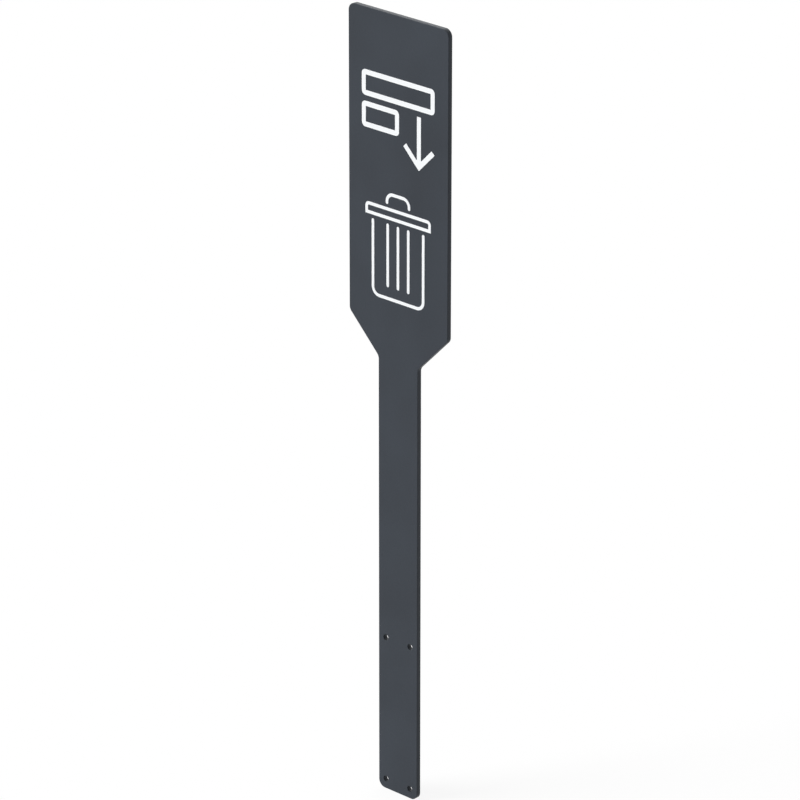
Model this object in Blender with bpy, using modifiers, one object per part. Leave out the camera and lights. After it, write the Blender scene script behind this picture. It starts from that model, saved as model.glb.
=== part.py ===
"""Totem sign: one thick steel plate, cut as a wide head on a narrow foot, with cut film graphics on its front.

The origin is the centre of the foot's bolt pattern, on the plate's back face.
+Z is up, the front faces -Y, and +X is to the right of someone who looks at the front.
All sizes are in metres.
"""

import math

import bmesh
import bpy
from mathutils import Vector

# Plate
PLATE_THICKNESS = 0.010
HEAD_WIDTH = 0.250
HEAD_HEIGHT = 0.600
FOOT_WIDTH = 0.100
FOOT_HEIGHT = 0.895
SHOULDER_SLOPE = math.radians(45)
END_CORNER_RADIUS = 0.015
SHOULDER_CORNER_RADIUS = 0.015
EDGE_ROUNDING = 0.0005

# Bolt holes, for M12 bolts
HOLE_DIAMETER = 0.013
HOLE_COLUMN_SPACING = 0.063
HOLE_ROW_SPACING = 0.301
LOWEST_HOLE_HEIGHT = 0.020
HOLE_CHAMFER = 0.0002

# Film graphics: their thickness, the clearance under them and the least radius that a cutter leaves
FILM_THICKNESS = 0.0003
FILM_CLEARANCE = 0.0003
FILM_CUT_RADIUS = 0.0008

# Blank name fields and the arrow beside the short one
FIELDS_BELOW_TOP = 0.1195
LONG_FIELD_WIDTH = 0.183
SHORT_FIELD_WIDTH = 0.094
FIELD_HEIGHT = 0.050
FIELD_ROW_GAP = 0.011
FIELD_STROKE = 0.010
FIELD_CORNER_RADIUS = 0.009
ARROW_WIDTH = 0.078
ARROW_HEIGHT = 0.104
ARROW_STROKE = 0.010
ARROW_HEAD_SLOPE = math.radians(45)

# Bin figure
BIN_BELOW_TOP = 0.3443
BIN_STROKE = 0.0064
BIN_HANDLE_WIDTH = 0.0622
BIN_HANDLE_HEIGHT = 0.0235
BIN_HANDLE_CORNER_RADIUS = 0.018
BIN_GAP_UNDER_HANDLE = 0.0065
BIN_LID_WIDTH = 0.1658
BIN_LID_HEIGHT = 0.0237
BIN_LID_CORNER_RADIUS = 0.009
BIN_GAP_UNDER_LID = 0.0073
BIN_BODY_WIDTH = 0.1343
BIN_BODY_HEIGHT = 0.1518
BIN_BODY_CORNER_RADIUS = 0.019
BIN_FLUTE_SPACING = 0.0261
BIN_FLUTE_LENGTH = 0.1254
BIN_FLUTES_BELOW_BODY_TOP = 0.0007

# Fineness of round stretches
ARC_STEP = math.radians(11.25)
HOLE_SIDES = 32
EDGE_SEGMENTS = 2
WELD_DISTANCE = 0.000001

# Heights on the plate, worked out from the sizes above
FOOT_BOTTOM = -(HOLE_ROW_SPACING / 2 + LOWEST_HOLE_HEIGHT)
SHOULDER_BOTTOM = FOOT_BOTTOM + FOOT_HEIGHT
SHOULDER_TOP = SHOULDER_BOTTOM + (HEAD_WIDTH - FOOT_WIDTH) / 2 * math.tan(SHOULDER_SLOPE)
HEAD_TOP = SHOULDER_TOP + HEAD_HEIGHT

# Upright pieces are drawn flat and turned up, so that a drawing's Y runs up and its Z comes forward
UPRIGHT = (math.radians(90), 0, 0)


def clear_scene():
    for piece in list(bpy.data.objects):
        bpy.data.objects.remove(piece, do_unlink=True)


def new_collection(name):
    collection = bpy.data.collections.new(name)
    bpy.context.scene.collection.children.link(collection)
    return collection


def srgb(hex_colour):
    """A hex colour as linear red, green, blue and alpha."""
    channels = [int(hex_colour[i : i + 2], 16) / 255 for i in (1, 3, 5)]
    linear = [c / 12.92 if c <= 0.04045 else ((c + 0.055) / 1.055) ** 2.4 for c in channels]
    return (*linear, 1.0)


def new_material(name, hex_colour, roughness, metallic):
    material = bpy.data.materials.new(name)
    material.use_nodes = True
    material.diffuse_color = srgb(hex_colour)
    shader = material.node_tree.nodes["Principled BSDF"]
    shader.inputs["Base Color"].default_value = srgb(hex_colour)
    shader.inputs["Roughness"].default_value = roughness
    shader.inputs["Metallic"].default_value = metallic
    return material


def rounded(corners):
    """The closed outline through (x, y, radius) corners, each rounded by an arc of its radius."""
    outline = []
    for i, (x, y, radius) in enumerate(corners):
        corner = Vector((x, y))
        back = (Vector(corners[i - 1][:2]) - corner).normalized()
        on = (Vector(corners[(i + 1) % len(corners)][:2]) - corner).normalized()
        half_angle = back.angle(on) / 2
        turn = math.pi - 2 * half_angle
        steps = math.ceil(turn / ARC_STEP)
        centre = corner + (back + on).normalized() * radius / math.sin(half_angle)
        spoke = corner + back * radius / math.tan(half_angle) - centre
        direction = math.copysign(1, back.cross(on))
        for step in range(steps + 1):
            angle = -direction * turn * step / steps
            point = centre + Vector(
                (
                    spoke.x * math.cos(angle) - spoke.y * math.sin(angle),
                    spoke.x * math.sin(angle) + spoke.y * math.cos(angle),
                )
            )
            if not outline or (point - outline[-1]).length > WELD_DISTANCE:
                outline.append(point)
    if (outline[0] - outline[-1]).length <= WELD_DISTANCE:
        outline.pop()
    return outline


def flat_piece(name, outlines, thickness, collection, material):
    """A plate or film with its middle at height 0: the first outline is its rim, and the others are its holes."""
    curve = bpy.data.curves.new(name, "CURVE")
    curve.dimensions = "2D"
    curve.fill_mode = "BOTH"
    curve.extrude = thickness / 2
    for outline in outlines:
        spline = curve.splines.new("POLY")
        spline.points.add(len(outline) - 1)
        for point, place in zip(spline.points, outline):
            point.co = (place.x, place.y, 0, 1)
        spline.use_cyclic_u = True
    curve.materials.append(material)
    piece = bpy.data.objects.new(name, curve)
    collection.objects.link(piece)
    return piece


def as_mesh(piece, collection):
    """The same piece as a welded mesh, which modifiers can cut and bevel."""
    bpy.context.view_layer.update()
    evaluated = piece.evaluated_get(bpy.context.evaluated_depsgraph_get())
    mesh = bpy.data.meshes.new_from_object(evaluated)
    solid = bmesh.new()
    solid.from_mesh(mesh)
    bmesh.ops.remove_doubles(solid, verts=solid.verts, dist=WELD_DISTANCE)
    bmesh.ops.recalc_face_normals(solid, faces=solid.faces)
    solid.to_mesh(mesh)
    solid.free()
    name = piece.name
    place = piece.matrix_world.copy()
    bpy.data.objects.remove(piece, do_unlink=True)
    meshed = bpy.data.objects.new(name, mesh)
    meshed.matrix_world = place
    collection.objects.link(meshed)
    return meshed


def plate_outline():
    """The plate's outline from the front, with x from its middle and y up from the bolt pattern's centre."""
    right_side = [
        (FOOT_WIDTH / 2, FOOT_BOTTOM, END_CORNER_RADIUS),
        (FOOT_WIDTH / 2, SHOULDER_BOTTOM, SHOULDER_CORNER_RADIUS),
        (HEAD_WIDTH / 2, SHOULDER_TOP, SHOULDER_CORNER_RADIUS),
        (HEAD_WIDTH / 2, HEAD_TOP, END_CORNER_RADIUS),
    ]
    left_side = [(-x, y, radius) for x, y, radius in reversed(right_side)]
    return rounded(right_side + left_side)


def hole_cutter(name, x, z, cutters):
    """A turned cutter along Y for one bolt hole, flared at both faces so that it leaves a chamfer on each rim."""
    radius = HOLE_DIAMETER / 2
    reach = PLATE_THICKNESS / 2 + HOLE_CHAMFER
    flared = radius + 2 * HOLE_CHAMFER
    waist = PLATE_THICKNESS / 2 - HOLE_CHAMFER
    profile = [(0, reach), (flared, reach), (radius, waist), (radius, -waist), (flared, -reach), (0, -reach)]
    mesh = bpy.data.meshes.new(name)
    links = [(i, i + 1) for i in range(len(profile) - 1)]
    mesh.from_pydata([(across, 0, along) for across, along in profile], links, [])
    cutter = bpy.data.objects.new(name, mesh)
    cutter.rotation_euler = UPRIGHT
    cutter.location = (x, -PLATE_THICKNESS / 2, z)
    turn = cutter.modifiers.new("turn", "SCREW")
    turn.steps = HOLE_SIDES
    turn.render_steps = HOLE_SIDES
    turn.use_merge_vertices = True
    turn.merge_threshold = WELD_DISTANCE
    cutter.hide_render = True
    cutter.display_type = "WIRE"
    cutters.objects.link(cutter)
    return cutter


def make_plate(parts, cutters, material):
    """The whole plate: its edges lightly rounded, then the four bolt holes cut through the foot."""
    drawn = flat_piece("sign_plate", [plate_outline()], PLATE_THICKNESS, parts, material)
    drawn.rotation_euler = UPRIGHT
    drawn.location = (0, -PLATE_THICKNESS / 2, 0)
    plate = as_mesh(drawn, parts)
    soften = plate.modifiers.new("rounded edges", "BEVEL")
    soften.width = EDGE_ROUNDING
    soften.segments = EDGE_SEGMENTS
    soften.limit_method = "ANGLE"
    for row, z in (("lower", -HOLE_ROW_SPACING / 2), ("upper", HOLE_ROW_SPACING / 2)):
        for side, x in (("left", -HOLE_COLUMN_SPACING / 2), ("right", HOLE_COLUMN_SPACING / 2)):
            cut = plate.modifiers.new(f"{row} {side} hole", "BOOLEAN")
            cut.object = hole_cutter(f"cutter_{row}_{side}", x, z, cutters)
            cut.operation = "DIFFERENCE"
            cut.solver = "EXACT"
    return plate


def graphics_plane(parts):
    """An empty on the middle of the film's thickness, at the middle of the head's top edge, facing forward."""
    plane = bpy.data.objects.new("graphics_plane", None)
    plane.rotation_euler = UPRIGHT
    plane.location = (0, -PLATE_THICKNESS - FILM_CLEARANCE - FILM_THICKNESS / 2, HEAD_TOP)
    parts.objects.link(plane)
    return plane


def film(name, outlines, plane, parts, material):
    piece = flat_piece(name, outlines, FILM_THICKNESS, parts, material)
    piece.parent = plane
    return piece


def frame_outlines(left, right, bottom, top, stroke, upper_radius, lower_radius):
    """The rim and the opening of an outlined rectangle whose stroke lies inside its edges."""
    inner_upper = max(upper_radius - stroke, FILM_CUT_RADIUS)
    inner_lower = max(lower_radius - stroke, FILM_CUT_RADIUS)
    rim = [
        (left, bottom, lower_radius),
        (right, bottom, lower_radius),
        (right, top, upper_radius),
        (left, top, upper_radius),
    ]
    opening = [
        (left + stroke, bottom + stroke, inner_lower),
        (right - stroke, bottom + stroke, inner_lower),
        (right - stroke, top - stroke, inner_upper),
        (left + stroke, top - stroke, inner_upper),
    ]
    return [rounded(rim), rounded(opening)]


def hoop_outline(width, closed_end, open_end, stroke, corner_radius):
    """A stroke bent in a U about x = 0, with round ends: it crosses over at closed_end and stops at open_end."""
    half = width / 2
    inwards = math.copysign(stroke, open_end - closed_end)
    tip = stroke / 2
    inner_radius = max(corner_radius - stroke, FILM_CUT_RADIUS)
    return rounded(
        [
            (-half, open_end, tip),
            (-half, closed_end, corner_radius),
            (half, closed_end, corner_radius),
            (half, open_end, tip),
            (half - stroke, open_end, tip),
            (half - stroke, closed_end + inwards, inner_radius),
            (-half + stroke, closed_end + inwards, inner_radius),
            (-half + stroke, open_end, tip),
        ]
    )


def make_name_fields(plane, parts, material):
    """Two blank fields, one above the other, in line at their left ends."""
    left = -LONG_FIELD_WIDTH / 2
    top = -FIELDS_BELOW_TOP
    for name, width in (("name_field_long", LONG_FIELD_WIDTH), ("name_field_short", SHORT_FIELD_WIDTH)):
        outlines = frame_outlines(
            left,
            left + width,
            top - FIELD_HEIGHT,
            top,
            FIELD_STROKE,
            FIELD_CORNER_RADIUS,
            FIELD_CORNER_RADIUS,
        )
        film(name, outlines, plane, parts, material)
        top -= FIELD_HEIGHT + FIELD_ROW_GAP


def make_direction_arrow(plane, parts, material):
    """An arrow that points down, level with the short field's top and in line with the long field's right end."""
    middle = (LONG_FIELD_WIDTH - ARROW_WIDTH) / 2
    top = -FIELDS_BELOW_TOP - FIELD_HEIGHT - FIELD_ROW_GAP
    tip = top - ARROW_HEIGHT
    half_span = ARROW_WIDTH / 2
    half_shaft = ARROW_STROKE / 2
    slope = math.tan(ARROW_HEAD_SLOPE)
    barb_depth = ARROW_STROKE / math.cos(ARROW_HEAD_SLOPE)
    end_in = ARROW_STROKE * math.sin(ARROW_HEAD_SLOPE)
    end_up = ARROW_STROKE * math.cos(ARROW_HEAD_SLOPE)
    right_side = [
        (half_span, half_span * slope),
        (half_span - end_in, half_span * slope + end_up),
        (half_shaft, half_shaft * slope + barb_depth),
        (half_shaft, ARROW_HEIGHT),
    ]
    left_side = [(-x, y) for x, y in reversed(right_side)]
    corners = [(0, 0)] + right_side + left_side
    outline = rounded([(middle + x, tip + y, FILM_CUT_RADIUS) for x, y in corners])
    film("direction_arrow", [outline], plane, parts, material)


def make_bin_figure(plane, parts, material):
    """The common bin figure, from the top down: a handle, a lid, and a body that is open at its top, with flutes."""
    handle_top = -BIN_BELOW_TOP
    lid_top = handle_top - BIN_HANDLE_HEIGHT - BIN_GAP_UNDER_HANDLE
    body_top = lid_top - BIN_LID_HEIGHT - BIN_GAP_UNDER_LID
    flute_top = body_top - BIN_FLUTES_BELOW_BODY_TOP
    handle = hoop_outline(
        BIN_HANDLE_WIDTH,
        handle_top,
        handle_top - BIN_HANDLE_HEIGHT,
        BIN_STROKE,
        BIN_HANDLE_CORNER_RADIUS,
    )
    film("bin_handle", [handle], plane, parts, material)
    lid = frame_outlines(
        -BIN_LID_WIDTH / 2,
        BIN_LID_WIDTH / 2,
        lid_top - BIN_LID_HEIGHT,
        lid_top,
        BIN_STROKE,
        BIN_LID_CORNER_RADIUS,
        FILM_CUT_RADIUS,
    )
    film("bin_lid", lid, plane, parts, material)
    body = hoop_outline(
        BIN_BODY_WIDTH,
        body_top - BIN_BODY_HEIGHT,
        body_top,
        BIN_STROKE,
        BIN_BODY_CORNER_RADIUS,
    )
    film("bin_body", [body], plane, parts, material)
    for side, place in (("left", -1), ("middle", 0), ("right", 1)):
        x = place * BIN_FLUTE_SPACING
        left = x - BIN_STROKE / 2
        right = x + BIN_STROKE / 2
        tip = BIN_STROKE / 2
        flute = rounded(
            [
                (left, flute_top - BIN_FLUTE_LENGTH, tip),
                (right, flute_top - BIN_FLUTE_LENGTH, tip),
                (right, flute_top, tip),
                (left, flute_top, tip),
            ]
        )
        film(f"bin_flute_{side}", [flute], plane, parts, material)


def main():
    clear_scene()
    parts = new_collection("totem_sign")
    cutters = new_collection("totem_sign_cutters")
    powder_coat = new_material("anthracite_powder_coat", "#464B52", 0.5, 0.0)
    white_film = new_material("white_cut_film", "#F4F5F5", 0.35, 0.0)
    make_plate(parts, cutters, powder_coat)
    plane = graphics_plane(parts)
    make_name_fields(plane, parts, white_film)
    make_direction_arrow(plane, parts, white_film)
    make_bin_figure(plane, parts, white_film)
    bpy.context.view_layer.update()


main()
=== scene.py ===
"""Totem sign for a waste point: a powder coated steel plate with cut film graphics, in a studio.

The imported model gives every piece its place. This file gives each its finished form and surface.
All sizes are in metres. +Z is up, the front faces -Y, and +X is to the right of someone who reads
the sign.
"""

import math

import bmesh
import bpy
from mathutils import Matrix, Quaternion, Vector


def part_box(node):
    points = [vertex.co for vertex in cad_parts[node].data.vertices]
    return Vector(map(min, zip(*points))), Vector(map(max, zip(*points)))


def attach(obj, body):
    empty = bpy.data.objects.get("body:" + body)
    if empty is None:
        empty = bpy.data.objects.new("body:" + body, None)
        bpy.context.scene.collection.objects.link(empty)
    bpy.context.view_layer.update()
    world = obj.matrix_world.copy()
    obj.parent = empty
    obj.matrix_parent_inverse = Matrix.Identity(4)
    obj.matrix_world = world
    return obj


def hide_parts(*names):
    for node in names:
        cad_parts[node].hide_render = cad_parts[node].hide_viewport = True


bl_info = {
    "name": "Totem Sign",
    "version": (1, 0, 0),
    "blender": (4, 5, 0),
    "location": "3D View > Sidebar > Totem Sign",
    "description": "Builds a powder coated totem sign with film graphics, in a plain studio",
    "category": "Add Mesh",
}

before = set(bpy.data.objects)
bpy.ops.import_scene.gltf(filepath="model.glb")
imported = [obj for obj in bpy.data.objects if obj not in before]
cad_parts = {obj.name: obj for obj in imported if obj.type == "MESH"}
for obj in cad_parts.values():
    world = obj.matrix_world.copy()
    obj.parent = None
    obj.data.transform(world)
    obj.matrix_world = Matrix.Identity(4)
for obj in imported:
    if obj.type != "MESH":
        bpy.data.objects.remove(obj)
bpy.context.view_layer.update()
PLATE_LOW, PLATE_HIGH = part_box("sign_plate")

BODY = "root"
COAT_MATERIAL = "fine_texture_powder_coat"
FILM_MATERIAL = "satin_vinyl_film"
FLUTE_NODES = ("bin_flute_left", "bin_flute_middle", "bin_flute_right")

# Fineness of round stretches: a turn that is only this share of a step too long gets no more steps
ARC_STEP = math.radians(5.625)
SPARE_STEP = 0.000001
HOLE_SIDES = 64
EDGE_STEPS = 4

# Points of an outline that lie closer together than this are one point
WELD_DISTANCE = 0.000001

# A face whose normal is this close to forward or back belongs to the flat of a plate or film
FLAT_NORMAL = 0.9999

# A noise texture runs from 0 to 1, but it mostly stays between these
NOISE_LOW = 0.3
NOISE_HIGH = 0.7

# Some sockets share their name with others of their node, so they are found by their place in it
FIRST_VALUE = 0
SECOND_VALUE = 1
SHADER_SHARE = 0
FIRST_SHADER = 1
SECOND_SHADER = 2
FIRST_COLOUR = 6
SECOND_COLOUR = 7
MIXED_COLOUR = 2

WHITE = "#FFFFFF"

# The camera's own measures: the image is taken to be this many pixels square
IMAGE_SIDE = 800
FOCAL_LENGTH_PIXELS = 4851.3
SENSOR_WIDTH_MM = 36.0

# The azimuth, elevation and spread of each soft light, in degrees: the rim light stands where the
# sign's top edge mirrors it to the camera
LIGHTS = {"key": (-45, 25, 40), "rim": (-136, 22, 60), "back": (-165, 8, 30)}

# The floor reaches so far that its edge is lost in the white behind it
FLOOR_HALF_SIDE = 30


def linear(hex_colour):
    """An sRGB hex colour as linear red, green, blue and alpha."""
    channels = [int(hex_colour[i : i + 2], 16) / 255 for i in (1, 3, 5)]
    turned = [c / 12.92 if c <= 0.04045 else ((c + 0.055) / 1.055) ** 2.4 for c in channels]
    return (*turned, 1.0)


def per_metre(size_mm):
    """The scale that gives a pattern features of this size."""
    return 1000 / size_mm


def length(name, description, default):
    """A setting that is a length, in metres."""
    return bpy.props.FloatProperty(
        name=name, description=description, default=default, min=0.0, unit="LENGTH"
    )


def angle(name, description, degrees):
    """A setting that is an angle, whose default is given in degrees."""
    return bpy.props.FloatProperty(
        name=name, description=description, default=math.radians(degrees), subtype="ANGLE"
    )


def colour(name, description, hex_colour):
    """A setting that is a colour, whose default is given as sRGB hex."""
    return bpy.props.FloatVectorProperty(
        name=name, description=description, default=linear(hex_colour), size=4, subtype="COLOR"
    )


def amount(name, description, default):
    """A setting without a unit."""
    return bpy.props.FloatProperty(name=name, description=description, default=default, min=0.0)


class TotemPlateSettings(bpy.types.PropertyGroup):
    """Sizes of the plate that its box doesn't give, and the colours of its coat."""

    foot_width: length("Foot width", "Width of the narrow foot below the shoulders", 0.100)
    foot_height: length("Foot height", "Height of the foot, from its end to the shoulders", 0.895)
    shoulder_slope: angle("Shoulder slope", "Slope of the shoulders between foot and head", 45)
    corner_radius: length("Corner radius", "Radius of every corner of the outline", 0.015)
    edge_radius: length("Edge radius", "Rounding of the cut edges under the coat", 0.0005)
    hole_edge_radius: length("Hole edge radius", "Rounding of the holes' rims", 0.0002)
    hole_diameter: length("Hole diameter", "Diameter of the bolt holes in the foot", 0.013)
    hole_column_spacing: length("Hole columns", "Distance between the columns of bolt holes", 0.063)
    hole_row_spacing: length("Hole rows", "Height between the rows of bolt holes", 0.301)
    coat_colour: colour("Coat colour", "Colour of the powder coat", "#343A42")
    coat_shade: colour("Coat shade", "Tone that the coat's grain falls to", "#2A2F36")


class TotemFilmSettings(bpy.types.PropertyGroup):
    """Sizes of the film graphics that their boxes don't give, and the film's colour."""

    thickness: length("Film thickness", "Thickness of the cut film with its adhesive", 0.0003)
    lift: length("Film lift", "Clearance between the plate's face and the film", 0.00002)
    cut_radius: length("Cut radius", "Least corner radius that the cutter leaves", 0.0008)
    edge_radius: length("Edge radius", "Rounding of the film's edges", 0.00006)
    field_stroke: length("Field stroke", "Stroke of the blank name fields", 0.010)
    field_corner_radius: length("Field corner", "Outer corner radius of the name fields", 0.009)
    arrow_stroke: length("Arrow stroke", "Stroke of the direction arrow", 0.010)
    bin_stroke: length("Bin stroke", "Stroke of the bin figure", 0.0064)
    handle_corner_radius: length("Handle corner", "Outer corner radius of the handle", 0.018)
    lid_corner_radius: length("Lid corner", "Outer radius of the lid's upper corners", 0.009)
    body_corner_radius: length("Body corner", "Outer radius of the body's lower corners", 0.019)
    film_colour: colour("Film colour", "Colour of the cut film", "#FBFCFC")
    film_shade: colour("Film shade", "Tone that the film's roll marks fall to", "#F8F9F9")


class TotemStudioSettings(bpy.types.PropertyGroup):
    """Where the camera stands, and how strong the studio's light is."""

    camera_azimuth: angle("Camera azimuth", "How far round to the sign's right it stands", 43.597)
    camera_elevation: angle("Camera elevation", "How far above level it stands", 22.303)
    camera_roll: angle("Camera roll", "How far it leans to its left", 0.03)
    camera_distance: length("Camera distance", "Distance to the point that it looks at", 9.0476)
    look_across: length("Look across", "How far right of the sign's middle it looks", 0.005185)
    look_height: length("Look height", "Height above the foot's end that it looks at", 0.8214)
    key_strength: amount("Key light", "Soft light from the front left and above", 3.45)
    rim_strength: amount("Rim light", "Soft light from behind, on the upper edges", 0.8)
    back_strength: amount("Back light", "Soft level light on the sign's back", 1.1)
    ambient_strength: amount("Ambient light", "Light from all round", 0.2)
    floor_colour: colour("Floor colour", "Colour of the floor as it lights the sign", "#B4BAC2")
    shadow_share: amount("Shadow share", "How much of the shadow shows on the floor", 0.15)


def add_node(tree, kind, inputs=None, **settings):
    """Adds a node with its settings. An input takes a value, or the output that feeds it."""
    node = tree.nodes.new(kind)
    for name, value in settings.items():
        setattr(node, name, value)
    for name, value in (inputs or {}).items():
        if isinstance(value, bpy.types.NodeSocket):
            tree.links.new(value, node.inputs[name])
        else:
            node.inputs[name].default_value = value
    return node


def new_material(name):
    """A material whose tree is empty."""
    material = bpy.data.materials.new(name)
    material.use_nodes = True
    material.node_tree.nodes.clear()
    return material


def powder_coated_steel(settings):
    """Laser-cut steel plate under fine-texture polyester powder coat, sprayed dry and baked.

    It gives the eye a matt, slightly blue dark grey with an even grit and a soft ripple. The cut
    walls also show the faint lines of the cut, straight through the plate, which the coat softens.
    """
    # The real grit is about 0.4 mm across, which is too fine to show, so it is drawn coarser
    grit_mm = 0.9
    ripple_mm = 4.0
    cloud_mm = 160
    cut_line_mm = 1.2
    cut_line_length_mm = 40

    # Each depth is in metres, for the noise's full range
    grit_depth = 0.00012
    ripple_depth = 0.00010
    cut_line_depth = 0.00015

    # The grain is the sum of two noises, which mostly stays between these
    grain_low = 0.7
    grain_high = 1.3

    # How much of a face's normal points forward or back: at most on a cut wall, at least off it
    on_wall = 0.2
    off_wall = 0.6
    least_roughness = 0.42
    most_roughness = 0.50
    specular_level = 0.25
    material = new_material(COAT_MATERIAL)
    tree = material.node_tree
    place = add_node(tree, "ShaderNodeTexCoord").outputs["Object"]
    grit = add_node(
        tree,
        "ShaderNodeTexNoise",
        {"Vector": place, "Scale": per_metre(grit_mm), "Detail": 3.0, "Roughness": 0.6},
    ).outputs["Fac"]
    ripple = add_node(
        tree,
        "ShaderNodeTexNoise",
        {"Vector": place, "Scale": per_metre(ripple_mm), "Detail": 1.0, "Roughness": 0.4},
    ).outputs["Fac"]
    clouds = add_node(
        tree,
        "ShaderNodeTexNoise",
        {"Vector": place, "Scale": per_metre(cloud_mm), "Detail": 2.0},
    ).outputs["Fac"]

    # The lines of the cut run through the plate, so their pattern is drawn out along Y
    drawn_out = add_node(
        tree,
        "ShaderNodeMapping",
        {"Vector": place, "Scale": (1.0, cut_line_mm / cut_line_length_mm, 1.0)},
    ).outputs["Vector"]
    cut_lines = add_node(
        tree,
        "ShaderNodeTexNoise",
        {"Vector": drawn_out, "Scale": per_metre(cut_line_mm), "Detail": 2.0},
    ).outputs["Fac"]
    normal = add_node(tree, "ShaderNodeNewGeometry").outputs["True Normal"]
    depthwise = add_node(tree, "ShaderNodeSeparateXYZ", {"Vector": normal}).outputs["Y"]
    flatness = add_node(
        tree, "ShaderNodeMath", {FIRST_VALUE: depthwise}, operation="ABSOLUTE"
    ).outputs["Value"]
    wall = add_node(
        tree,
        "ShaderNodeMapRange",
        {
            "Value": flatness,
            "From Min": on_wall,
            "From Max": off_wall,
            "To Min": 1.0,
            "To Max": 0.0,
        },
    ).outputs["Result"]
    wall_lines = add_node(
        tree,
        "ShaderNodeMath",
        {FIRST_VALUE: cut_lines, SECOND_VALUE: wall},
        operation="MULTIPLY",
    ).outputs["Value"]

    grain = add_node(
        tree, "ShaderNodeMath", {FIRST_VALUE: grit, SECOND_VALUE: clouds}, operation="ADD"
    ).outputs["Value"]
    grain_tone = add_node(
        tree,
        "ShaderNodeMapRange",
        {"Value": grain, "From Min": grain_low, "From Max": grain_high},
    ).outputs["Result"]
    tone = add_node(
        tree,
        "ShaderNodeMix",
        {
            "Factor": grain_tone,
            FIRST_COLOUR: settings.coat_shade,
            SECOND_COLOUR: settings.coat_colour,
        },
        data_type="RGBA",
    ).outputs[MIXED_COLOUR]
    roughness = add_node(
        tree,
        "ShaderNodeMapRange",
        {
            "Value": ripple,
            "From Min": NOISE_LOW,
            "From Max": NOISE_HIGH,
            "To Min": least_roughness,
            "To Max": most_roughness,
        },
    ).outputs["Result"]
    relief = add_node(
        tree, "ShaderNodeBump", {"Height": grit, "Distance": grit_depth}
    ).outputs["Normal"]
    for height, depth in ((ripple, ripple_depth), (wall_lines, cut_line_depth)):
        relief = add_node(
            tree, "ShaderNodeBump", {"Height": height, "Distance": depth, "Normal": relief}
        ).outputs["Normal"]
    shader = add_node(
        tree,
        "ShaderNodeBsdfPrincipled",
        {
            "Base Color": tone,
            "Roughness": roughness,
            "Specular IOR Level": specular_level,
            "Normal": relief,
        },
    )
    add_node(tree, "ShaderNodeOutputMaterial", {"Surface": shader.outputs["BSDF"]})
    return material


def cut_vinyl_film(settings):
    """Calendered white vinyl film, knife-cut and rolled onto the coat.

    It gives the eye a clean satin white, with the coat's ripple showing softly in its gloss.
    """
    ripple_mm = 4.0
    roll_mark_mm = 30

    # The depth is in metres, for the noise's full range
    ripple_depth = 0.00001
    least_roughness = 0.32
    most_roughness = 0.40
    material = new_material(FILM_MATERIAL)
    tree = material.node_tree
    place = add_node(tree, "ShaderNodeTexCoord").outputs["Object"]
    ripple = add_node(
        tree,
        "ShaderNodeTexNoise",
        {"Vector": place, "Scale": per_metre(ripple_mm), "Detail": 1.0, "Roughness": 0.4},
    ).outputs["Fac"]
    roll_marks = add_node(
        tree,
        "ShaderNodeTexNoise",
        {"Vector": place, "Scale": per_metre(roll_mark_mm), "Detail": 2.0},
    ).outputs["Fac"]
    roughness = add_node(
        tree,
        "ShaderNodeMapRange",
        {
            "Value": roll_marks,
            "From Min": NOISE_LOW,
            "From Max": NOISE_HIGH,
            "To Min": least_roughness,
            "To Max": most_roughness,
        },
    ).outputs["Result"]
    tone = add_node(
        tree,
        "ShaderNodeMix",
        {
            "Factor": roll_marks,
            FIRST_COLOUR: settings.film_shade,
            SECOND_COLOUR: settings.film_colour,
        },
        data_type="RGBA",
    ).outputs[MIXED_COLOUR]
    relief = add_node(
        tree, "ShaderNodeBump", {"Height": ripple, "Distance": ripple_depth}
    ).outputs["Normal"]
    shader = add_node(
        tree,
        "ShaderNodeBsdfPrincipled",
        {"Base Color": tone, "Roughness": roughness, "Normal": relief},
    )
    add_node(tree, "ShaderNodeOutputMaterial", {"Surface": shader.outputs["BSDF"]})
    return material


def shared_material(name, make, settings):
    """The material of that name, made the first time that a piece asks for it."""
    return bpy.data.materials.get(name) or make(settings)


def coat():
    """The coat that the plate carries."""
    settings = bpy.context.scene.totem_plate
    return shared_material(COAT_MATERIAL, powder_coated_steel, settings)


def film():
    """The film that every graphic is cut from."""
    settings = bpy.context.scene.totem_film
    return shared_material(FILM_MATERIAL, cut_vinyl_film, settings)


def rounded_outline(corners):
    """The closed outline through (x, z, radius) corners, as pairs of a point and the way outwards.

    The corners run anticlockwise round a rim and clockwise round an opening, seen from the front.
    """
    outline = []
    for i, (x, z, radius) in enumerate(corners):
        corner = Vector((x, z))
        back = (Vector(corners[i - 1][:2]) - corner).normalized()
        on = (Vector(corners[(i + 1) % len(corners)][:2]) - corner).normalized()
        half_angle = back.angle(on) / 2
        turn = math.pi - 2 * half_angle
        steps = math.ceil(turn / ARC_STEP - SPARE_STEP)
        centre = corner + (back + on).normalized() * radius / math.sin(half_angle)
        spoke = corner + back * radius / math.tan(half_angle) - centre
        bulge = -math.copysign(1, back.cross(on))
        for step in range(steps + 1):
            swing = bulge * turn * step / steps
            arm = Vector(
                (
                    spoke.x * math.cos(swing) - spoke.y * math.sin(swing),
                    spoke.x * math.sin(swing) + spoke.y * math.cos(swing),
                )
            )
            outline.append((centre + arm, arm.normalized() * bulge))
    return [
        pair
        for i, pair in enumerate(outline)
        if (pair[0] - outline[i - 1][0]).length > WELD_DISTANCE
    ]


def edge_rows(thickness, radius):
    """How far in and how far forward each row of a wall lies, from the back to the front."""
    swings = [math.radians(90) * step / EDGE_STEPS for step in range(EDGE_STEPS + 1)]
    back_edge = [(radius * (1 - math.sin(a)), radius * (1 - math.cos(a))) for a in swings]
    front_edge = [(inset, thickness - depth) for inset, depth in reversed(back_edge)]
    return back_edge + front_edge


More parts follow.
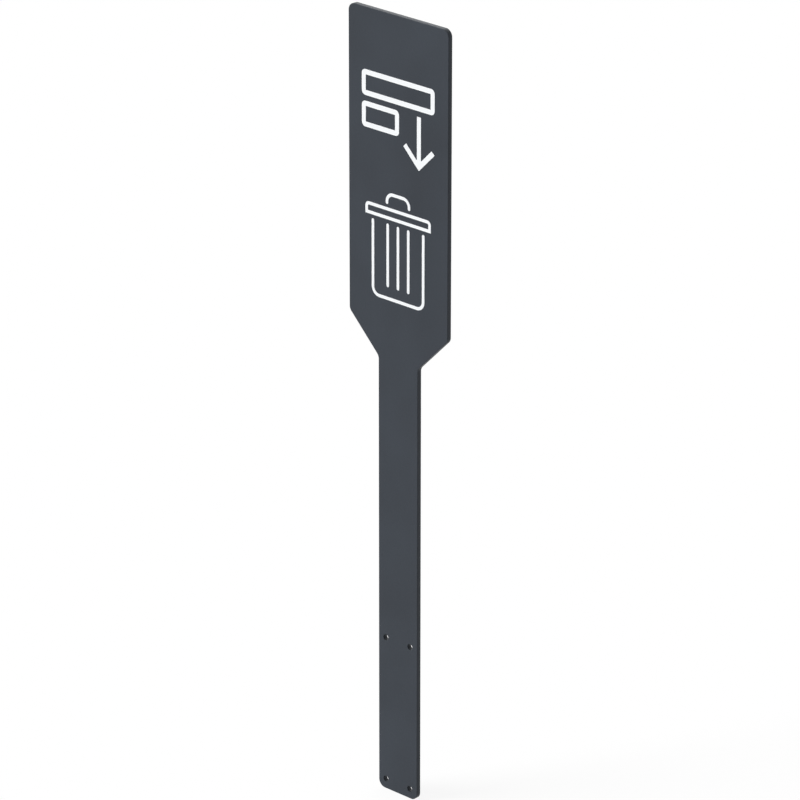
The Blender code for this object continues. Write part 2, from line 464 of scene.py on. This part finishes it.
def smooth_edges(mesh):
    """Shades walls and rounded edges smooth, and leaves the flats flat."""
    for face in mesh.polygons:
        face.use_smooth = abs(face.normal.y) < FLAT_NORMAL


def join_rows(form, rows):
    """Joins closed rows of vertices with faces, each row to the next."""
    for row, next_row in zip(rows, rows[1:]):
        for i, vertex in enumerate(row):
            form.faces.new((row[i - 1], vertex, next_row[i], next_row[i - 1]))


def finished_mesh(name, form):
    """The form as a mesh whose faces point outwards."""
    bmesh.ops.recalc_face_normals(form, faces=form.faces)
    mesh = bpy.data.meshes.new(name)
    form.to_mesh(mesh)
    form.free()
    return mesh


def flat_piece(name, outlines, back, thickness, radius, material):
    """A piece cut from a sheet, with rounded edges: its rim comes first and its openings after."""
    form = bmesh.new()
    flats = ([], [])
    for outline in outlines:
        rows = []
        for inset, depth in edge_rows(thickness, radius):
            places = [
                (point.x - outwards.x * inset, back - depth, point.y - outwards.y * inset)
                for point, outwards in outline
            ]
            rows.append([form.verts.new(place) for place in places])
        join_rows(form, rows)
        for flat, row in zip(flats, (rows[0], rows[-1])):
            flat += [form.edges.get((row[i - 1], vertex)) for i, vertex in enumerate(row)]
    for flat in flats:
        bmesh.ops.triangle_fill(form, use_beauty=True, edges=flat)
    mesh = finished_mesh(name, form)
    mesh.materials.append(material)
    smooth_edges(mesh)
    piece = bpy.data.objects.new(name, mesh)
    bpy.context.scene.collection.objects.link(piece)
    return piece


def new_geometry_tree(name, inputs):
    """A Geometry Nodes tree with a geometry input and output, and the named inputs besides."""
    tree = bpy.data.node_groups.new(name, "GeometryNodeTree")
    tree.is_modifier = True
    tree.interface.new_socket("Geometry", in_out="INPUT", socket_type="NodeSocketGeometry")
    for label, kind in inputs.items():
        tree.interface.new_socket(label, in_out="INPUT", socket_type=kind)
    tree.interface.new_socket("Geometry", in_out="OUTPUT", socket_type="NodeSocketGeometry")
    return tree, tree.nodes.new("NodeGroupInput").outputs


def finish_tree(tree, geometry, material):
    """Ends a tree in real geometry with its material."""
    real = add_node(tree, "GeometryNodeRealizeInstances", {"Geometry": geometry})
    finished = add_node(
        tree,
        "GeometryNodeSetMaterial",
        {"Geometry": real.outputs["Geometry"], "Material": material},
    )
    add_node(tree, "NodeGroupOutput", {"Geometry": finished.outputs["Geometry"]})


def run_tree(piece, tree, values):
    """Runs a tree on a piece and keeps the result as the piece's plain mesh."""
    modifier = piece.modifiers.new(tree.name, "NODES")
    modifier.node_group = tree
    for socket in tree.interface.items_tree:
        if socket.in_out == "INPUT" and socket.name in values:
            modifier[socket.identifier] = values[socket.name]
    bpy.context.view_layer.update()
    evaluated = piece.evaluated_get(bpy.context.evaluated_depsgraph_get())
    mesh = bpy.data.meshes.new_from_object(evaluated)
    piece.modifiers.clear()
    piece.data = mesh
    smooth_edges(mesh)


def bolt_pattern_tree():
    """Cuts a grid of holes through a plate that stands in the XZ plane, round the origin."""
    tree, inputs = new_geometry_tree(
        "bolt_pattern",
        {
            "Cutter": "NodeSocketObject",
            "Column Spacing": "NodeSocketFloat",
            "Row Spacing": "NodeSocketFloat",
            "Coat": "NodeSocketMaterial",
        },
    )
    grid = add_node(
        tree,
        "GeometryNodeMeshGrid",
        {
            "Size X": inputs["Column Spacing"],
            "Size Y": inputs["Row Spacing"],
            "Vertices X": 2,
            "Vertices Y": 2,
        },
    )

    # A turn would round the points off, and the cutters' rims have to lie in the plate's faces
    flat_place = add_node(tree, "GeometryNodeInputPosition").outputs["Position"]
    level = add_node(tree, "ShaderNodeSeparateXYZ", {"Vector": flat_place}).outputs
    standing_place = add_node(tree, "ShaderNodeCombineXYZ", {"X": level["X"], "Z": level["Y"]})
    upright = add_node(
        tree,
        "GeometryNodeSetPosition",
        {"Geometry": grid.outputs["Mesh"], "Position": standing_place.outputs["Vector"]},
    )
    cutter = add_node(tree, "GeometryNodeObjectInfo", {"Object": inputs["Cutter"]})
    cutters = add_node(
        tree,
        "GeometryNodeInstanceOnPoints",
        {"Points": upright.outputs["Geometry"], "Instance": cutter.outputs["Geometry"]},
    )
    solid_cutters = add_node(
        tree, "GeometryNodeRealizeInstances", {"Geometry": cutters.outputs["Instances"]}
    )
    drilled = add_node(
        tree,
        "GeometryNodeMeshBoolean",
        {"Mesh 1": inputs["Geometry"], "Mesh 2": solid_cutters.outputs["Geometry"]},
        operation="DIFFERENCE",
        solver="EXACT",
    )

    # The cut leaves faces of many sides, so their triangles are chosen here
    triangles = add_node(
        tree,
        "GeometryNodeTriangulate",
        {"Mesh": drilled.outputs["Mesh"]},
        quad_method="BEAUTY",
        ngon_method="BEAUTY",
    )
    finish_tree(tree, triangles.outputs["Mesh"], inputs["Coat"])
    return tree


def flute_row_tree():
    """Repeats a flute to the right at an even spacing."""
    tree, inputs = new_geometry_tree(
        "flute_row",
        {
            "Count": "NodeSocketInt",
            "Spacing": "NodeSocketVector",
            "Film": "NodeSocketMaterial",
        },
    )
    line = add_node(
        tree, "GeometryNodeMeshLine", {"Count": inputs["Count"], "Offset": inputs["Spacing"]}
    )
    flutes = add_node(
        tree,
        "GeometryNodeInstanceOnPoints",
        {"Points": line.outputs["Mesh"], "Instance": inputs["Geometry"]},
    )
    finish_tree(tree, flutes.outputs["Instances"], inputs["Film"])
    return tree


def hole_cutter(settings, thickness):
    """A turned cutter along Y whose ends flare, so that it leaves a rounded rim on both faces."""
    overrun = settings.hole_edge_radius
    wall = [
        (settings.hole_diameter / 2 + inset, PLATE_HIGH.y - depth)
        for inset, depth in edge_rows(thickness, settings.hole_edge_radius)
    ]
    behind = (wall[0][0], PLATE_HIGH.y + overrun)
    before = (wall[-1][0], PLATE_LOW.y - overrun)
    swings = [2 * math.pi * i / HOLE_SIDES for i in range(HOLE_SIDES)]
    form = bmesh.new()
    rings = []
    for radius, y in [behind, *wall, before]:
        places = [(radius * math.cos(a), y, radius * math.sin(a)) for a in swings]
        rings.append([form.verts.new(place) for place in places])
    join_rows(form, rings)
    form.faces.new(rings[0])
    form.faces.new(rings[-1])
    return bpy.data.objects.new("hole_cutter", finished_mesh("hole_cutter", form))


class TotemCutPlate(bpy.types.Operator):
    """Cut the plate to its outline, drill its bolt holes and coat it"""

    bl_idname = "totem_sign.cut_plate"
    bl_label = "Cut the plate"
    bl_options = {"REGISTER", "UNDO"}

    def execute(self, context):
        settings = context.scene.totem_plate
        half_foot = settings.foot_width / 2
        half_head = PLATE_HIGH.x
        shoulder_low = PLATE_LOW.z + settings.foot_height
        shoulder_high = shoulder_low + (half_head - half_foot) * math.tan(settings.shoulder_slope)
        right_side = [
            (half_foot, PLATE_LOW.z),
            (half_foot, shoulder_low),
            (half_head, shoulder_high),
            (half_head, PLATE_HIGH.z),
        ]
        left_side = [(-x, z) for x, z in reversed(right_side)]
        rim = rounded_outline([(x, z, settings.corner_radius) for x, z in right_side + left_side])
        thickness = PLATE_HIGH.y - PLATE_LOW.y
        plate = flat_piece("plate", [rim], PLATE_HIGH.y, thickness, settings.edge_radius, coat())
        cutter = hole_cutter(settings, thickness)
        run_tree(
            plate,
            bolt_pattern_tree(),
            {
                "Cutter": cutter,
                "Column Spacing": settings.hole_column_spacing,
                "Row Spacing": settings.hole_row_spacing,
                "Coat": coat(),
            },
        )
        bpy.data.objects.remove(cutter)
        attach(plate, BODY)
        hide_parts("sign_plate")
        return {"FINISHED"}


def film_piece(name, outlines):
    """A piece of film on the plate's front face."""
    settings = bpy.context.scene.totem_film
    back = PLATE_LOW.y - settings.lift
    return flat_piece(name, outlines, back, settings.thickness, settings.edge_radius, film())


def stick(piece, *nodes):
    """Fixes a finished piece of film to the plate, in the place of its nodes."""
    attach(piece, BODY)
    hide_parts(*nodes)


def box_corners(low, high, margin, lower_radius, upper_radius):
    """The corners of a rectangle, a margin inside a box, anticlockwise from its lower left."""
    left, right = low.x + margin, high.x - margin
    bottom, top = low.z + margin, high.z - margin
    return [
        (left, bottom, lower_radius),
        (right, bottom, lower_radius),
        (right, top, upper_radius),
        (left, top, upper_radius),
    ]


def framed(node, stroke, lower_radius, upper_radius):
    """The rim and the opening of an outlined rectangle that fills the node's box."""
    least = bpy.context.scene.totem_film.cut_radius
    low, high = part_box(node)
    inner_lower = max(lower_radius - stroke, least)
    inner_upper = max(upper_radius - stroke, least)
    opening = box_corners(low, high, stroke, inner_lower, inner_upper)
    return [
        rounded_outline(box_corners(low, high, 0, lower_radius, upper_radius)),
        rounded_outline(opening[::-1]),
    ]


def hooped(node, stroke, radius, opens_up):
    """The rim of a U-shaped stroke with round ends that fills the node's box, either way up."""
    low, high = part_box(node)
    least = bpy.context.scene.totem_film.cut_radius
    tip = stroke / 2
    closed, open_end = (low.z, high.z) if opens_up else (high.z, low.z)
    inner = closed + math.copysign(stroke, open_end - closed)
    inner_radius = max(radius - stroke, least)
    corners = [
        (low.x, open_end, tip),
        (low.x, closed, radius),
        (high.x, closed, radius),
        (high.x, open_end, tip),
        (high.x - stroke, open_end, tip),
        (high.x - stroke, inner, inner_radius),
        (low.x + stroke, inner, inner_radius),
        (low.x + stroke, open_end, tip),
    ]
    return [rounded_outline(corners if opens_up else corners[::-1])]


class TotemNameFields(bpy.types.Operator):
    """Stick the two blank name fields on the head"""

    bl_idname = "totem_sign.name_fields"
    bl_label = "Name fields"
    bl_options = {"REGISTER", "UNDO"}

    def execute(self, context):
        settings = context.scene.totem_film
        radius = settings.field_corner_radius
        for name, node in (("long_field", "name_field_long"), ("short_field", "name_field_short")):
            outlines = framed(node, settings.field_stroke, radius, radius)
            stick(film_piece(name, outlines), node)
        return {"FINISHED"}


class TotemArrow(bpy.types.Operator):
    """Stick the direction arrow beside the short name field"""

    bl_idname = "totem_sign.arrow"
    bl_label = "Direction arrow"
    bl_options = {"REGISTER", "UNDO"}

    def execute(self, context):
        settings = context.scene.totem_film
        stroke = settings.arrow_stroke
        radius = settings.cut_radius
        low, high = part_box("direction_arrow")

        # The cutter's radius takes this much off each square corner that points sideways or down
        blunting = radius * (math.sqrt(2) - 1)
        middle = (low.x + high.x) / 2
        tip = low.z - blunting
        span = (high.x - low.x) / 2 + blunting
        end_cut = stroke * math.sqrt(0.5)
        armpit = stroke / 2 + stroke * math.sqrt(2)
        right_side = [
            (span, span),
            (span - end_cut, span + end_cut),
            (stroke / 2, armpit),
            (stroke / 2, high.z - tip),
        ]
        left_side = [(-x, z) for x, z in reversed(right_side)]
        corners = [(0, 0), *right_side, *left_side]
        rim = rounded_outline([(middle + x, tip + z, radius) for x, z in corners])
        stick(film_piece("arrow", [rim]), "direction_arrow")
        return {"FINISHED"}


class TotemBinFigure(bpy.types.Operator):
    """Stick the bin figure below: its handle, lid, body and flutes"""

    bl_idname = "totem_sign.bin_figure"
    bl_label = "Bin figure"
    bl_options = {"REGISTER", "UNDO"}

    def execute(self, context):
        settings = context.scene.totem_film
        stroke = settings.bin_stroke
        handle = hooped("bin_handle", stroke, settings.handle_corner_radius, opens_up=False)
        stick(film_piece("handle", handle), "bin_handle")
        lid = framed("bin_lid", stroke, settings.cut_radius, settings.lid_corner_radius)
        stick(film_piece("lid", lid), "bin_lid")
        body = hooped("bin_body", stroke, settings.body_corner_radius, opens_up=True)
        stick(film_piece("body", body), "bin_body")
        self.add_flutes(stroke)
        return {"FINISHED"}

    def add_flutes(self, stroke):
        """The flutes are one piece: the left one, repeated at the spacing of its neighbour."""
        low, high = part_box(FLUTE_NODES[0])
        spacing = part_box(FLUTE_NODES[1])[0].x - low.x
        rim = rounded_outline(box_corners(low, high, 0, stroke / 2, stroke / 2))
        flutes = film_piece("flutes", [rim])
        run_tree(
            flutes,
            flute_row_tree(),
            {"Count": len(FLUTE_NODES), "Spacing": (spacing, 0.0, 0.0), "Film": film()},
        )
        stick(flutes, *FLUTE_NODES)


def seen_share(tree):
    """1 where a ray comes from the eye, gloss or glass, and 0 where it only gathers light."""
    path = add_node(tree, "ShaderNodeLightPath").outputs
    share = path["Is Camera Ray"]
    for name in ("Is Glossy Ray", "Is Transmission Ray"):
        share = add_node(
            tree,
            "ShaderNodeMath",
            {FIRST_VALUE: share, SECOND_VALUE: path[name]},
            operation="MAXIMUM",
        ).outputs["Value"]
    return share


def floor_light(settings):
    """How bright white paper is on the floor, under all the lights, where 1 is plain white."""
    falling = sum(
        getattr(settings, f"{name}_strength") * math.sin(math.radians(elevation))
        for name, (_, elevation, _) in LIGHTS.items()
    )
    return falling / math.pi + settings.ambient_strength


def studio_floor(settings):
    """Matt white paper, swept level. It gives the eye plain white with a trace of shadow."""
    # The share that shows the shadow is a little dark, so the rest makes up for it
    share = settings.shadow_share
    glow = (1 - share * floor_light(settings)) / (1 - share)
    material = new_material("studio_paper")
    tree = material.node_tree
    white = add_node(tree, "ShaderNodeEmission", {"Strength": glow})
    shaded = add_node(tree, "ShaderNodeBsdfDiffuse", {"Color": linear(WHITE)})
    seen = add_node(
        tree,
        "ShaderNodeMixShader",
        {
            SHADER_SHARE: share,
            FIRST_SHADER: white.outputs["Emission"],
            SECOND_SHADER: shaded.outputs["BSDF"],
        },
    )
    unseen = add_node(tree, "ShaderNodeBsdfDiffuse", {"Color": settings.floor_colour})
    mixed = add_node(
        tree,
        "ShaderNodeMixShader",
        {
            SHADER_SHARE: seen_share(tree),
            FIRST_SHADER: unseen.outputs["BSDF"],
            SECOND_SHADER: seen.outputs["Shader"],
        },
    )
    add_node(tree, "ShaderNodeOutputMaterial", {"Surface": mixed.outputs["Shader"]})
    return material


def studio_air(settings):
    """The light from all round, behind which the eye sees plain white."""
    world = bpy.data.worlds.new("studio_air")
    world.use_nodes = True
    tree = world.node_tree
    tree.nodes.clear()
    ambient, white = [
        add_node(tree, "ShaderNodeBackground", {"Color": linear(WHITE), "Strength": strength})
        for strength in (settings.ambient_strength, 1.0)
    ]
    mixed = add_node(
        tree,
        "ShaderNodeMixShader",
        {
            SHADER_SHARE: seen_share(tree),
            FIRST_SHADER: ambient.outputs["Background"],
            SECOND_SHADER: white.outputs["Background"],
        },
    )
    add_node(tree, "ShaderNodeOutputWorld", {"Surface": mixed.outputs["Shader"]})
    return world


def direction(azimuth, elevation):
    """The way from the sign to a point seen round and above its front."""
    level = math.cos(elevation)
    return Vector((math.sin(azimuth) * level, -math.cos(azimuth) * level, math.sin(elevation)))


def soft_sun(name, azimuth, elevation, spread, energy):
    """A soft light that comes evenly from one side, its angles in degrees."""
    light = bpy.data.lights.new(name, "SUN")
    light.energy = energy
    light.angle = math.radians(spread)
    lamp = bpy.data.objects.new(name, light)
    towards = direction(math.radians(azimuth), math.radians(elevation))
    lamp.rotation_euler = towards.to_track_quat("Z", "Y").to_euler()
    bpy.context.scene.collection.objects.link(lamp)


class TotemStudio(bpy.types.Operator):
    """Set up the floor, the soft light and the camera"""

    bl_idname = "totem_sign.studio"
    bl_label = "Studio"
    bl_options = {"REGISTER", "UNDO"}

    def execute(self, context):
        settings = context.scene.totem_studio
        self.lay_floor(context.scene, settings)
        context.scene.world = studio_air(settings)
        for name, aim in LIGHTS.items():
            soft_sun(f"{name}_light", *aim, getattr(settings, f"{name}_strength"))
        context.scene.view_settings.view_transform = "Standard"
        self.place_camera(context.scene, settings)
        return {"FINISHED"}

    def lay_floor(self, scene, settings):
        """Lays the floor level with the foot's end."""
        mesh = bpy.data.meshes.new("floor")
        form = bmesh.new()
        bmesh.ops.create_grid(form, x_segments=1, y_segments=1, size=FLOOR_HALF_SIDE)
        bmesh.ops.translate(form, vec=(0, 0, PLATE_LOW.z), verts=form.verts)
        form.to_mesh(mesh)
        form.free()
        mesh.materials.append(studio_floor(settings))
        floor = bpy.data.objects.new("floor", mesh)
        scene.collection.objects.link(floor)

    def place_camera(self, scene, settings):
        """Puts the camera where the photograph's view of the sign is seen from."""
        view = bpy.data.cameras.new("camera")
        view.sensor_width = SENSOR_WIDTH_MM
        view.lens = SENSOR_WIDTH_MM * FOCAL_LENGTH_PIXELS / IMAGE_SIDE
        camera = bpy.data.objects.new("camera", view)
        back = direction(settings.camera_azimuth, settings.camera_elevation)
        looked_at = Vector(
            (settings.look_across, PLATE_LOW.y, PLATE_LOW.z + settings.look_height)
        )
        camera.location = looked_at + back * settings.camera_distance
        roll = Quaternion((0, 0, 1), settings.camera_roll)
        camera.rotation_euler = ((-back).to_track_quat("-Z", "Y") @ roll).to_euler()
        scene.collection.objects.link(camera)
        scene.camera = camera


class TotemPanel(bpy.types.Panel):
    """Builds the sign and its studio, a step at a time"""

    bl_idname = "VIEW3D_PT_totem_sign"
    bl_label = "Totem Sign"
    bl_space_type = "VIEW_3D"
    bl_region_type = "UI"
    bl_category = "Totem Sign"

    def draw(self, context):
        steps = (
            (context.scene.totem_plate, (TotemCutPlate,)),
            (context.scene.totem_film, (TotemNameFields, TotemArrow, TotemBinFigure)),
            (context.scene.totem_studio, (TotemStudio,)),
        )
        for settings, operators in steps:
            column = self.layout.column()
            for name in settings.bl_rna.properties.keys():
                if name not in {"rna_type", "name"}:
                    column.prop(settings, name)
            for operator in operators:
                column.operator(operator.bl_idname)


SETTINGS = {
    "totem_plate": TotemPlateSettings,
    "totem_film": TotemFilmSettings,
    "totem_studio": TotemStudioSettings,
}
OPERATORS = (TotemCutPlate, TotemNameFields, TotemArrow, TotemBinFigure, TotemStudio)


def register():
    for kind in (*SETTINGS.values(), *OPERATORS, TotemPanel):
        bpy.utils.register_class(kind)
    for name, kind in SETTINGS.items():
        setattr(bpy.types.Scene, name, bpy.props.PointerProperty(type=kind))


def unregister():
    for name in SETTINGS:
        delattr(bpy.types.Scene, name)
    for kind in (TotemPanel, *reversed(OPERATORS), *SETTINGS.values()):
        bpy.utils.unregister_class(kind)


def main():
    register()
    bpy.ops.totem_sign.cut_plate()
    bpy.ops.totem_sign.name_fields()
    bpy.ops.totem_sign.arrow()
    bpy.ops.totem_sign.bin_figure()
    bpy.ops.totem_sign.studio()
    bpy.context.view_layer.update()


if __name__ == "__main__":
    main()
